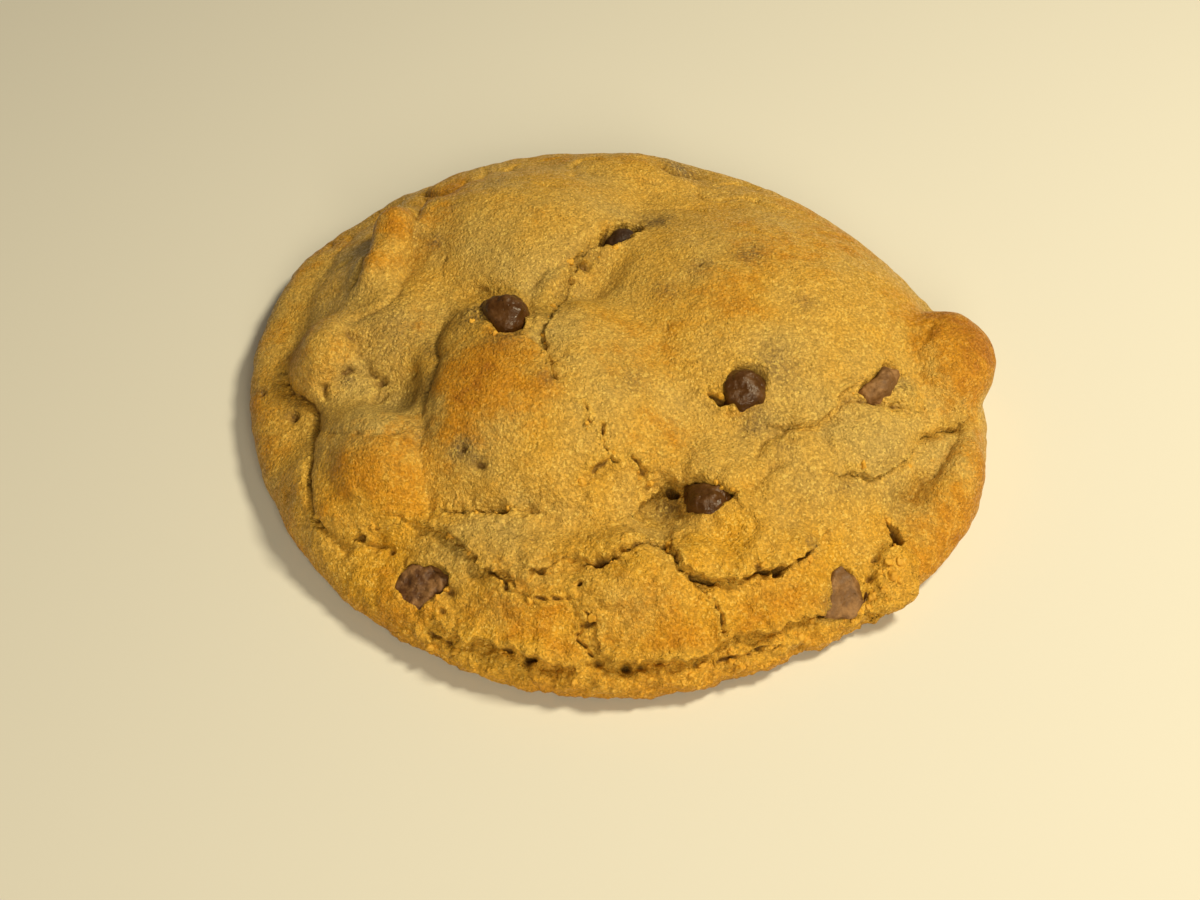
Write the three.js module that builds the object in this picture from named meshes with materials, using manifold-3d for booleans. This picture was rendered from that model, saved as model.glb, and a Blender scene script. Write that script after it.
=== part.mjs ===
// A large chocolate chip cookie: one thick, lumpy piece of baked dough with seven chocolate chips
// that show at its top. Millimetres, +Z up. The flat baked underside lies on Z = 0, -Y is the front,
// and the origin is the middle of the underside.
import * as THREE from "three";
import Module from "manifold-3d";
import { mergeVertices } from "three/addons/utils/BufferGeometryUtils.js";

// Driving dimensions
const RIM_THICKNESS = 6.4; // height of the thin outer rim
const RIM_ROUNDING = 4.8; // how far in from the edge the rim's top starts to round down
const EDGE_LEVEL = 0.42; // height of the widest outline, as a share of the rim's thickness
const UNDERCUT = 2.2; // how far the underside is set in from the widest outline
const MOUND_RISE = 10.4; // the thick middle over the rim
const CHIP_DIAMETER = 9.4;
const CHIP_HEIGHT = 7.6;
const POCKET_GAP = 0.3; // air between a chip and the dough it sits in

// Mesh steps of the dough's skin
const STEPS_ROUND = 92;
const STEPS_TOP = 23;
const STEPS_EDGE = 6;
const STEPS_UNDER = 3;

// The cookie isn't quite round. Each list starts at +X and steps 30 degrees, anticlockwise from above.
const OUTLINE_RADIUS = [54.2, 50.4, 50.2, 51.8, 54.4, 56.6, 55.6, 54.9, 56.1, 57.0, 55.4, 56.5];
const RIM_WIDTH = [5.5, 3.4, 3.6, 3.6, 4.0, 6.5, 8.0, 7.8, 6.5, 5.5, 6.5, 8.5]; // flat rim by the mound
const FLANK = [0.42, 0.46, 0.5, 0.46, 0.45, 0.5, 0.56, 0.6, 0.72, 0.78, 0.7, 0.55]; // low is steep

// Lobes where scoops of dough rose and pushed against each other. half is [along, across] the lobe,
// turn is the angle of its long way from +X, and rise is its height over the swell. side is how steep
// its flank is, 0.3 a cliff and 1 a gentle slope; with a cliff angle only that way is steep.
const LOBES = [
  { name: "back left cap", at: [-11, 21], half: [19, 19], turn: 0, rise: 4.7, side: 0.5, cliff: 200 },
  { name: "toasted left peak", at: [-9, -15], half: [22, 21], turn: 0, rise: 6.5, side: 0.3, cliff: 180 },
  { name: "big right lobe", at: [22, 3], half: [27, 28], turn: 0, rise: 5.8, side: 0.42, cliff: 290 },
  { name: "left back ridge", at: [-34.5, 18], half: [14, 5.2], turn: 66, rise: 5.2, side: 0.6 },
  { name: "left bump", at: [-43.5, -3], half: [8.5, 6.5], turn: 80, rise: 5.2, side: 0.6 },
  { name: "left shoulder", at: [-35, 3], half: [9.5, 7.5], turn: 70, rise: 2.6, side: 0.7 },
  { name: "lower left bump", at: [-36, -24.5], half: [12, 11], turn: 125, rise: 5.6, side: 0.5 },
  { name: "right front slope", at: [28, -26], half: [20, 12], turn: 35, rise: 3.4, side: 0.55 },
  { name: "front left plate", at: [-15.5, -42], half: [14, 7.5], turn: 158, rise: 3.4, side: 0.45 },
  { name: "front plate", at: [4, -44.5], half: [13, 7.5], turn: 3, rise: 3.8, side: 0.4 },
  { name: "front right plate", at: [22, -41], half: [12, 6.5], turn: 25, rise: 3.2, side: 0.4 },
  { name: "right rim fold", at: [48, -17], half: [13, 5.2], turn: 72, rise: 4.2, side: 0.5 },
  { name: "back hump", at: [2, 38], half: [14, 8], turn: 175, rise: 2.6, side: 0.7 },
  { name: "back right hump", at: [26, 27], half: [13, 8], turn: 135, rise: 2, side: 0.9 },
];
const LOBE_BLEND = 0.7; // how softly two lobes run into each other

// Round knob of dough that leans out over the rim at the right
const KNOB = { at: [47.6, -3.2, 10.2], half: [8.2, 9.3, 6.5], turn: -14, segments: [24, 16] };

// Dips pressed into the top between the lobes, each a round hollow
const DIPS = [
  { at: [-30, -14], half: [7, 9], depth: 1.4 },
  { at: [-4, 6], half: [5, 12], turn: -30, depth: 2.4 },
  { at: [6, -33], half: [9, 5], depth: 1.8 },
];

// Chips: at is where the chip comes out of the dough's skin, stands is how far it comes out, turn is
// the compass way its tip leans, and lean how far from straight up. Over 90 degrees of lean the tip is
// buried and the flat base shows. size is [across, tall] against a whole chip: a slumped one is low.
const CHIPS = [
  { name: "chip_upper_left", at: [-16.2, -3.6], stands: 2.6, turn: 60, lean: 15, size: [0.95, 0.95] },
  { name: "chip_in_hollow", at: [2, 18], stands: 0.6, turn: 60, lean: 30, size: [0.9, 0.9] },
  { name: "chip_centre", at: [17.3, -17], stands: 1.7, turn: 250, lean: 20, size: [0.85, 0.85] },
  { name: "chip_under_fold", at: [12.2, -34.2], stands: 2.2, turn: 275, lean: 50, size: [0.9, 0.85] },
  { name: "chip_front_left", at: [-26.4, -42.6], stands: 0.5, turn: 60, lean: 148, size: [0.84, 0.5] },
  { name: "chip_front_right", at: [29.4, -43.4], stands: 0.5, turn: 110, lean: 138, size: [0.84, 0.5] },
  { name: "chip_right", at: [37, -13.2], stands: 1.1, turn: 300, lean: 25, size: [0.9, 0.7] },
];

// Colours, from the pale part of the baked top and a chip in the light
const COLOURS = { dough: 0xc8923a, chocolate: 0x5e3720 };

const radians = THREE.MathUtils.degToRad;
const wasm = await Module();
wasm.setup();

// Smooth value in one direction of a list that goes round the cookie, by a cubic through its points.
function around(list, angle) {
  const place = ((angle / (2 * Math.PI)) * list.length + list.length) % list.length;
  const k = Math.floor(place);
  const t = place - k;
  const [a, b, c, d] = [k - 1, k, k + 1, k + 2].map((i) => list[(i + list.length) % list.length]);
  return b + (t / 2) * (c - a + t * (2 * a - 5 * b + 4 * c - d + t * (3 * (b - c) + d - a)));
}

// Distance from a lobe's middle, as a share of its half sizes: 1 is its edge.
function reach(x, y, { at, half, turn = 0 }) {
  const c = Math.cos(radians(turn));
  const s = Math.sin(radians(turn));
  const dx = x - at[0];
  const dy = y - at[1];
  return Math.hypot((dx * c + dy * s) / half[0], (dy * c - dx * s) / half[1]);
}

// Steepness of a lobe's flank on the side of a point.
const GENTLE_SIDE = 1.2;
function flankAt(x, y, { at, side, cliff }) {
  if (cliff === undefined) return side;
  const away = Math.atan2(y - at[1], x - at[0]) - radians(cliff);
  return side + (GENTLE_SIDE - side) * ((1 - Math.cos(away)) / 2);
}

// Height of a rounded lobe over the ground it stands on. TOE keeps even a cliff's foot from being upright.
const TOE = 0.04;
function crown(x, y, lobe) {
  const inside = 1 - reach(x, y, lobe) ** 2;
  if (inside <= 0) return 0;
  const flank = flankAt(x, y, lobe);
  return (lobe.rise * ((inside + TOE) ** flank - TOE ** flank)) / ((1 + TOE) ** flank - TOE ** flank);
}

// The higher of two heights, with a soft valley of the given width where they cross.
function softMax(a, b, width) {
  const mix = Math.max(width - Math.abs(a - b), 0) / width;
  return Math.max(a, b) + (mix * mix * width) / 4;
}

// The thick middle's height at a point, as a share of its full rise.
function moundShare(x, y) {
  const angle = Math.atan2(y, x);
  const share = Math.hypot(x, y) / (around(OUTLINE_RADIUS, angle) - around(RIM_WIDTH, angle));
  return share < 1 ? (1 - share * share) ** around(FLANK, angle) : 0;
}

// Height of the top skin over the underside.
function topHeight(x, y) {
  const lobes = LOBES.map((l) => crown(x, y, l)).reduce((a, b) => softMax(a, b, LOBE_BLEND), 0);
  let dips = 0;
  for (const dip of DIPS) dips += dip.depth * Math.max(0, 1 - reach(x, y, dip) ** 2) ** 2;
  return RIM_THICKNESS + MOUND_RISE * moundShare(x, y) + lobes - dips;
}

// How much of the height is left where the rim rounds down: all of it inside, EDGE_LEVEL at the edge.
function edgeShare(radius, edge) {
  const over = Math.max(0, (radius - (edge - RIM_ROUNDING)) / RIM_ROUNDING);
  return EDGE_LEVEL + (1 - EDGE_LEVEL) * Math.sqrt(Math.max(0, 1 - over * over));
}

// The dough's skin is made of rings: over the top, round the edge, and in under the base.
function skinRings() {
  const rings = [];
  for (let i = 1; i <= STEPS_TOP; i++)
    rings.push({ share: (i / STEPS_TOP) ** 0.92, over: 0 });
  for (let i = 1; i <= STEPS_EDGE; i++)
    rings.push({ over: Math.sin((i / STEPS_EDGE) * (Math.PI / 2)) });
  for (let i = 1; i <= STEPS_UNDER; i++)
    rings.push({ under: i / STEPS_UNDER });
  return rings;
}

function ringPoint(ring, angle) {
  const edge = around(OUTLINE_RADIUS, angle);
  const shoulder = edge - RIM_ROUNDING;
  const c = Math.cos(angle);
  const s = Math.sin(angle);
  if (ring.under !== undefined) {
    const bend = (ring.under * Math.PI) / 2;
    const radius = edge - UNDERCUT * (1 - Math.cos(bend));
    return [radius * c, radius * s, RIM_THICKNESS * EDGE_LEVEL * (1 - Math.sin(bend))];
  }
  const radius = ring.share ? shoulder * ring.share : shoulder + RIM_ROUNDING * ring.over;
  return [radius * c, radius * s, topHeight(radius * c, radius * s) * edgeShare(radius, edge)];
}

function doughSkin() {
  const rings = skinRings();
  const points = [0, 0, topHeight(0, 0)];
  for (const ring of rings)
    for (let k = 0; k < STEPS_ROUND; k++)
      points.push(...ringPoint(ring, (k / STEPS_ROUND) * 2 * Math.PI));
  const bottom = points.length / 3;
  points.push(0, 0, 0);
  const faces = [];
  const at = (ring, k) => 1 + ring * STEPS_ROUND + (k % STEPS_ROUND);
  for (let k = 0; k < STEPS_ROUND; k++) {
    faces.push(0, at(0, k), at(0, k + 1));
    for (let ring = 0; ring + 1 < rings.length; ring++) {
      faces.push(at(ring, k), at(ring + 1, k), at(ring + 1, k + 1));
      faces.push(at(ring, k), at(ring + 1, k + 1), at(ring, k + 1));
    }
    faces.push(bottom, at(rings.length - 1, k + 1), at(rings.length - 1, k));
  }
  return new wasm.Manifold(
    new wasm.Mesh({
      numProp: 3,
      vertProperties: new Float32Array(points),
      triVerts: new Uint32Array(faces),
    }),
  );
}

// A closed three.js geometry, moved by a matrix, as a solid that can be joined and cut.
function solidOf(geometry, matrix = new THREE.Matrix4()) {
  const plain = geometry.clone();
  plain.deleteAttribute("normal");
  plain.deleteAttribute("uv");
  const merged = mergeVertices(plain.applyMatrix4(matrix), 1e-4);
  return new wasm.Manifold(
    new wasm.Mesh({
      numProp: 3,
      vertProperties: merged.attributes.position.array,
      triVerts: new Uint32Array(merged.index.array),
    }),
  );
}

function geometryOf(solid) {
  const mesh = solid.getMesh();
  return new THREE.BufferGeometry()
    .setAttribute("position", new THREE.BufferAttribute(mesh.vertProperties, 3))
    .setIndex(new THREE.BufferAttribute(mesh.triVerts, 1));
}

function knobSolid() {
  const ball = new THREE.SphereGeometry(1, ...KNOB.segments);
  ball.rotateX(Math.PI / 2);
  const matrix = new THREE.Matrix4().compose(
    new THREE.Vector3(...KNOB.at),
    new THREE.Quaternion().setFromAxisAngle(new THREE.Vector3(0, 0, 1), radians(KNOB.turn)),
    new THREE.Vector3(...KNOB.half),
  );
  return solidOf(ball, matrix);
}

// One baked chip, grown by a margin: a drop with a flat base, a swollen side and a blunt, slumped tip.
const CHIP_SEGMENTS = 16;
const CHIP_PROFILE_STEPS = 6;
function chipGeometry([across, tall], margin = 0) {
  const radius = (CHIP_DIAMETER / 2) * across + margin;
  const height = CHIP_HEIGHT * tall + 2 * margin;
  const profile = [new THREE.Vector2(0, -margin)];
  for (let i = 0; i < CHIP_PROFILE_STEPS; i++) {
    const rise = i / CHIP_PROFILE_STEPS;
    const belly = Math.sqrt(1 - rise ** 2.2) * (1 - 0.12 * (1 - rise) ** 6);
    profile.push(new THREE.Vector2(radius * belly, height * rise - margin));
  }
  profile.push(new THREE.Vector2(0, height - margin));
  return new THREE.LatheGeometry(profile, CHIP_SEGMENTS).rotateX(Math.PI / 2);
}

// Where a chip sits: the middle of its base, and the turn that leans its tip.
function chipMatrix({ at, stands, turn, lean, size }) {
  const tip = new THREE.Vector3(
    Math.sin(radians(lean)) * Math.cos(radians(turn)),
    Math.sin(radians(lean)) * Math.sin(radians(turn)),
    Math.cos(radians(lean)),
  );
  const baseShows = lean > 90;
  const place = new THREE.Vector3(...at, topHeight(...at));
  place.addScaledVector(tip, baseShows ? -stands : stands - CHIP_HEIGHT * size[1]);
  const upright = new THREE.Vector3(0, 0, 1);
  const turned = new THREE.Quaternion().setFromUnitVectors(upright, tip);
  return new THREE.Matrix4().compose(place, turned, new THREE.Vector3(1, 1, 1));
}

function finish(colour, roughness) {
  return new THREE.MeshStandardMaterial({ color: colour, roughness, metalness: 0 });
}

function namedMesh(name, solid, material) {
  const mesh = new THREE.Mesh(geometryOf(solid), material);
  mesh.name = name;
  return mesh;
}

const cookie = new THREE.Group();
let dough = doughSkin().add(knobSolid());
for (const chip of CHIPS) {
  const place = chipMatrix(chip);
  dough = dough.subtract(solidOf(chipGeometry(chip.size, POCKET_GAP), place));
  const mesh = namedMesh(chip.name, solidOf(chipGeometry(chip.size)), finish(COLOURS.chocolate, 0.35));
  mesh.applyMatrix4(place);
  cookie.add(mesh);
}
cookie.add(namedMesh("dough", dough, finish(COLOURS.dough, 0.85)));

// The origin goes to the middle of the whole cookie's underside.
const box = new THREE.Box3().setFromObject(cookie);
cookie.position.set(-(box.min.x + box.max.x) / 2, -(box.min.y + box.max.y) / 2, -box.min.z);

export default cookie;
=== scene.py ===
# %% [markdown]
# # A chocolate chip cookie, step by step
#
# This script dresses a plain solid cookie in the looks of a real one: a large, thick, soft-baked
# cookie with a high lumpy top, cracks and folds, a toasted skin and milk chocolate chips.
# The solid gives the size and the big lumps. Everything finer is made here.
#
# First the solid is loaded, in metres, with +Z up and the cookie's underside on Z = 0. Its pieces
# are called nodes. The dough and the chips made below each take the place of one node.

# %% The solid cookie
import math

import bpy
import numpy as np
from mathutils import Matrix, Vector, noise
from mathutils.bvhtree import BVHTree
from mathutils.kdtree import KDTree


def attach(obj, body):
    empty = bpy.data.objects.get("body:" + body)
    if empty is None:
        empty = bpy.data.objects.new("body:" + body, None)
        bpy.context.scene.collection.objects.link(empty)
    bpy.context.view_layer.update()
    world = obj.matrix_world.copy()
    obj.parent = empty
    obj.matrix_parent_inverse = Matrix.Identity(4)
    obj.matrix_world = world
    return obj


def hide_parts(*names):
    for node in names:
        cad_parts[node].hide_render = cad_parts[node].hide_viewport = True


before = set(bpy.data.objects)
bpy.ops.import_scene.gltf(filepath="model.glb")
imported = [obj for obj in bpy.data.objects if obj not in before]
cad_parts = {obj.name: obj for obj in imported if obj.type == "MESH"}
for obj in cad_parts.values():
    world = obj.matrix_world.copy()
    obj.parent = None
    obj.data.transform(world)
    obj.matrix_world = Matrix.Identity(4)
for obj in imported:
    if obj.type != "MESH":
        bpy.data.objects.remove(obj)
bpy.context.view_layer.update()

MM = 0.001
NOISE_SEED = 2
noise.seed_set(NOISE_SEED)  # without it the noise, and so the cracks, would change from run to run
CHIP_NODES = sorted(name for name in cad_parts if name.startswith("chip_"))
print("chips:", CHIP_NODES)

# %% [markdown]
# ## The camera comes first
#
# The photo looks down at the cookie from the front. A circle seen from above at a slant becomes an
# ellipse, and how flat the ellipse is gives the angle. The camera is added early because the folds
# and cracks below are placed by looking through it: a spot in the picture is a line of sight, and
# the spot on the cookie is where that line first meets the skin.

# %% The camera
PHOTO_WIDTH, PHOTO_HEIGHT = 1200, 900
LOOK_DOWN = math.radians(47.5)
DISTANCE = 265 * MM
AIM = Vector((-2.75, -8.66, 0)) * MM
LENS_MM, SENSOR_MM = 53.58, 36.0

towards = Vector((0, math.cos(LOOK_DOWN), -math.sin(LOOK_DOWN)))
bpy.ops.object.select_all(action="DESELECT")
bpy.ops.object.camera_add(
    location=AIM - towards * DISTANCE, rotation=(math.pi / 2 - LOOK_DOWN, 0, 0)
)
camera = bpy.context.object
camera.data.lens = LENS_MM
camera.data.sensor_width = SENSOR_MM
camera.data.clip_start = 10 * MM
bpy.context.scene.camera = camera
bpy.context.view_layer.update()
print("camera at", [round(v / MM) for v in camera.location], "mm")

# %% [markdown]
# A picture point is counted in the photo's own pixels from its top left corner. The camera's
# matrix has three columns that point to its right, up and backwards, and a line of sight is made
# of those three.

# %% From a spot in the picture to a spot on the cookie
SIGHT_UNIT = LENS_MM / SENSOR_MM * PHOTO_WIDTH


def line_of_sight(px, py):
    """The way the camera looks through a pixel of the photo."""
    right, up, back = (camera.matrix_world.to_3x3().col[k] for k in range(3))
    return (right * (px - PHOTO_WIDTH / 2) - up * (py - PHOTO_HEIGHT / 2) - back * SIGHT_UNIT).normalized()


def spot_on(skin, px, py):
    """Where the line of sight through a pixel meets the skin, or comes nearest to it."""
    eye, way = camera.matrix_world.translation, line_of_sight(px, py)
    hit = skin.ray_cast(eye, way)[0]
    if hit is None:
        hit = skin.find_nearest(eye + way * DISTANCE)[0]
    return hit / MM


# %% [markdown]
# ## The dough, part one: a closed skin
#
# The solid dough has a pocket for each chip. A baked chip is stuck fast, with dough right up to its
# side, so the pockets are closed first: the pocket walls are the faces that lie closest to a chip.
# They are deleted and the holes filled. Then a voxel remesh turns the coarse facets into an even
# net of small squares, smoothing rounds them, and one subdivision makes the net fine enough for
# cracks.

# %% Helpers for copying a solid and picking its faces
def alone(piece):
    """Selects one object only and makes it the active one."""
    bpy.ops.object.select_all(action="DESELECT")
    piece.select_set(True)
    bpy.context.view_layer.objects.active = piece


def copy_of(node, name):
    """A copy of a solid's mesh with its corners joined. The solid itself stays as it is."""
    piece = bpy.data.objects.new(name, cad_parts[node].data.copy())
    bpy.context.collection.objects.link(piece)
    piece.data.materials.clear()
    piece.data.name = name
    alone(piece)
    bpy.ops.object.mode_set(mode="EDIT")
    bpy.ops.mesh.select_all(action="SELECT")
    bpy.ops.mesh.remove_doubles(threshold=0.001 * MM)
    bpy.ops.object.mode_set(mode="OBJECT")
    return piece


def pick_faces(piece, wanted):
    """Selects the faces that a list of yes and no values names, ready for edit mode."""
    mesh = piece.data
    mesh.vertices.foreach_set("select", [False] * len(mesh.vertices))
    mesh.edges.foreach_set("select", [False] * len(mesh.edges))
    mesh.polygons.foreach_set("select", wanted)
    bpy.ops.object.mode_set(mode="EDIT")
    bpy.ops.mesh.select_mode(type="FACE")


# %% The dough with its pockets closed
POCKET_REACH = 0.5 * MM

dough = copy_of("dough", "baked_dough")
depsgraph = bpy.context.evaluated_depsgraph_get()
chip_trees = [BVHTree.FromObject(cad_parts[name], depsgraph) for name in CHIP_NODES]
in_pocket = [
    any(tree.find_nearest(face.center, POCKET_REACH)[0] is not None for tree in chip_trees)
    for face in dough.data.polygons
]
pick_faces(dough, in_pocket)
bpy.ops.mesh.delete(type="FACE")
bpy.ops.mesh.select_mode(type="EDGE")
bpy.ops.mesh.select_non_manifold()
bpy.ops.mesh.fill_holes(sides=0)
bpy.ops.mesh.quads_convert_to_tris()
bpy.ops.object.mode_set(mode="OBJECT")
print("pocket faces taken out:", sum(in_pocket), "and faces now:", len(dough.data.polygons))

# %% An even net of small squares
VOXEL = 0.86 * MM
SMOOTHINGS = 14


def apply_modifier(piece, kind, **settings):
    """Adds a modifier to the piece and applies it at once."""
    alone(piece)
    modifier = piece.modifiers.new(kind.lower(), kind)
    for key, value in settings.items():
        setattr(modifier, key, value)
    bpy.ops.object.modifier_apply(modifier=modifier.name)


apply_modifier(dough, "REMESH", mode="VOXEL", voxel_size=VOXEL)
apply_modifier(dough, "SMOOTH", factor=0.5, iterations=SMOOTHINGS)
apply_modifier(dough, "SUBSURF", levels=1, render_levels=1)
print("net of", len(dough.data.polygons), "squares")

# %% [markdown]
# The underside is flat and hidden, so most of its squares are thinned out. The squares that are
# saved there can be spent on the top.

# %% Fewer faces underneath
UNDERSIDE_HEIGHT = 0.35 * MM
UNDERSIDE_KEEP = 0.12

underside = [face.center.z < UNDERSIDE_HEIGHT and face.normal.z < -0.9 for face in dough.data.polygons]
pick_faces(dough, underside)
bpy.ops.mesh.decimate(ratio=UNDERSIDE_KEEP)
bpy.ops.object.mode_set(mode="OBJECT")
print("faces after thinning:", len(dough.data.polygons))

# %% [markdown]
# ## The dough, part two: strokes drawn in the picture
#
# Sculpting by hand is pushing the skin in along a stroke. Here a stroke is a short list of picture
# points along a fold or crack, read off the photo. Each stroke has a name, a depth and a width in
# millimetres. A **fold** is the valley where two soft lobes meet. A **crack** is narrow, with
# painted shade inside. A **ledge** is the broken edge of a plate of crust that stands over its
# neighbour: what lies to the left of the stroke, as seen from above, stands up, and the other side
# drops into a painted shadow.

# %% Folds between the lobes
FOLDS = {  # picture points, depth, width
    "right of the left ridge": ([(424, 190), (419, 215), (415, 250), (407, 276)], 3.0, 3.4),
    "left of the left ridge": ([(382, 209), (366, 250), (355, 278), (347, 291)], 1.8, 3.0),
    "left ridge foot": ([(407, 276), (392, 296), (372, 312), (352, 322)], 0.9, 2.6),
    "left ridge side": ([(395, 264), (376, 275)], 0.7, 1.8),
    "peak cliff": ([(446, 318), (434, 334), (436, 358), (428, 383), (422, 408)], 1.8, 3.6),
    "peak cliff foot": ([(422, 408), (420, 443), (422, 478), (429, 511)], 1.4, 3.6),
    "above the lower left bump": ([(316, 429), (335, 432), (370, 434), (408, 432), (420, 427)], 0.7, 2.6),
    "left rim crease": ([(282, 370), (284, 383), (293, 396), (308, 405), (314, 411), (314, 434)], 2.0, 2.6),
    "left rim crease, lower": (
        [(314, 434), (308, 459), (306, 478), (312, 519), (325, 530), (345, 551)], 1.6, 2.4,
    ),
    "right of the left bump": ([(347, 329), (357, 345), (358, 358), (373, 372), (379, 378)], 1.7, 2.4),
    "under the left bump": ([(379, 378), (398, 377), (414, 370)], 1.4, 2.0),
    "left bump notch": ([(370, 373), (350, 370), (328, 380), (322, 389), (325, 396)], 1.5, 2.0),
    "pale lobe crease": ([(379, 383), (370, 398), (390, 384)], 0.7, 1.4),
    "valley, upper": ([(652, 196), (640, 215), (603, 242), (588, 266), (571, 289)], 1.6, 4.4),
    "valley, lower": ([(571, 289), (556, 299), (543, 327), (551, 354)], 1.7, 4.6),
    "left of the crumb ridge": ([(566, 258), (545, 272), (532, 288), (528, 304), (532, 324)], 1.0, 2.9),
    "above the upper left chip": ([(457, 300), (470, 292), (485, 291)], 0.8, 2.4),
    "back notch": ([(660, 163), (676, 172), (700, 172)], 1.2, 2.6),
    "knob neck": ([(933, 309), (933, 321), (926, 331), (926, 341)], 1.2, 3.8),
    "under the knob": ([(972, 414), (950, 420), (926, 432), (913, 445)], 2.5, 3.2),
    "right rim crease": (
        [(963, 424), (961, 436), (950, 454), (937, 470), (919, 486), (903, 502), (897, 523)], 3.8, 3.5,
    ),
    "right slope, foot": ([(827, 432), (829, 446), (836, 458)], 0.5, 2.8),
    "right slope, long": ([(839, 397), (865, 400), (896, 410), (922, 423)], 1.4, 2.4),
    "right slope, left": ([(787, 427), (765, 440), (755, 460)], 0.8, 2.6),
    "right slope, middle": ([(833, 470), (850, 471), (865, 469), (905, 455)], 0.7, 3.0),
    "edge of the big lobe": (
        [(635, 494), (653, 486), (672, 480), (700, 479), (733, 497), (745, 494)], 1.5, 3.4,
    ),
    "edge of the big lobe, right": ([(745, 494), (760, 475), (771, 467), (790, 462)], 1.0, 3.0),
    "middle crease": ([(571, 486), (591, 477), (613, 462)], 0.6, 2.0),
    "crease across the sheet": ([(431, 511), (473, 510), (542, 512)], 0.9, 1.8),
    "front plate crease": ([(574, 607), (609, 610), (641, 607)], 0.6, 1.6),
    "lower left crease": ([(345, 551), (368, 545), (392, 548)], 0.8, 2.2),
}

# %% Edges of the plates of crust
LEDGES = {  # picture points, how far one side stands up, how far the other side drops
    "left edge of the big lobe, upper": ([(605, 243), (591, 255), (583, 269), (571, 289)], 0.6, 0.7),
    "left edge of the big lobe, lower": ([(571, 289), (556, 312), (547, 334), (552, 356)], 0.5, 0.45),
    "edge of the peak": ([(556, 378), (547, 356), (525, 341), (503, 339)], 0.6, 0.9),
    "torn sheet, left": ([(405, 514), (426, 522), (463, 540), (482, 563), (505, 570), (519, 582)], 0.6, 0.9),
    "torn sheet, middle": ([(519, 582), (533, 566), (565, 557), (592, 559)], 0.5, 0.9),
    "right plate, side": ([(673, 537), (679, 562), (698, 578), (717, 581)], 0.8, 1.0),
    "right plate, front": ([(717, 581), (755, 572), (780, 566), (806, 553), (822, 540)], 1.0, 1.3),
    "left plate": ([(440, 620), (463, 636), (504, 648), (546, 663), (579, 665), (592, 658)], 1.1, 1.2),
    "middle plate": ([(598, 640), (602, 652), (616, 661), (666, 662), (700, 657), (717, 650)], 1.2, 1.3),
    "outer plate": ([(717, 650), (742, 635), (762, 632), (806, 619), (832, 610)], 0.9, 1.1),
    "big lobe over the hollow": ([(638, 509), (650, 494), (668, 482), (683, 480)], 1.2, 1.4),
    "big lobe over the chip": ([(683, 480), (706, 482), (722, 490), (733, 499)], 1.2, 0.7),
    "big lobe, front end": ([(588, 560), (612, 553), (644, 535), (673, 534)], 0.7, 0.7),
    "lobe over the right chip": (
        [(779, 426), (792, 427), (817, 423), (833, 407), (838, 392), (858, 385)], 0.8, 1.1,
    ),
    "knob over the slope": ([(913, 445), (926, 432), (950, 420), (970, 415)], 0.5, 0.8),
    "slope lobe": ([(835, 471), (858, 473), (881, 472), (905, 458), (919, 444)], 0.5, 0.5),
    "chunk at the right rim": ([(866, 608), (884, 601), (899, 588), (906, 568)], 0.9, 1.1),
    "rim tear, right": ([(884, 603), (899, 590), (908, 566), (901, 553), (882, 556)], 0.7, 0.5),
    "sheet under the peak": ([(542, 512), (500, 511), (473, 510), (431, 511)], 0.4, 0.6),
}

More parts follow.
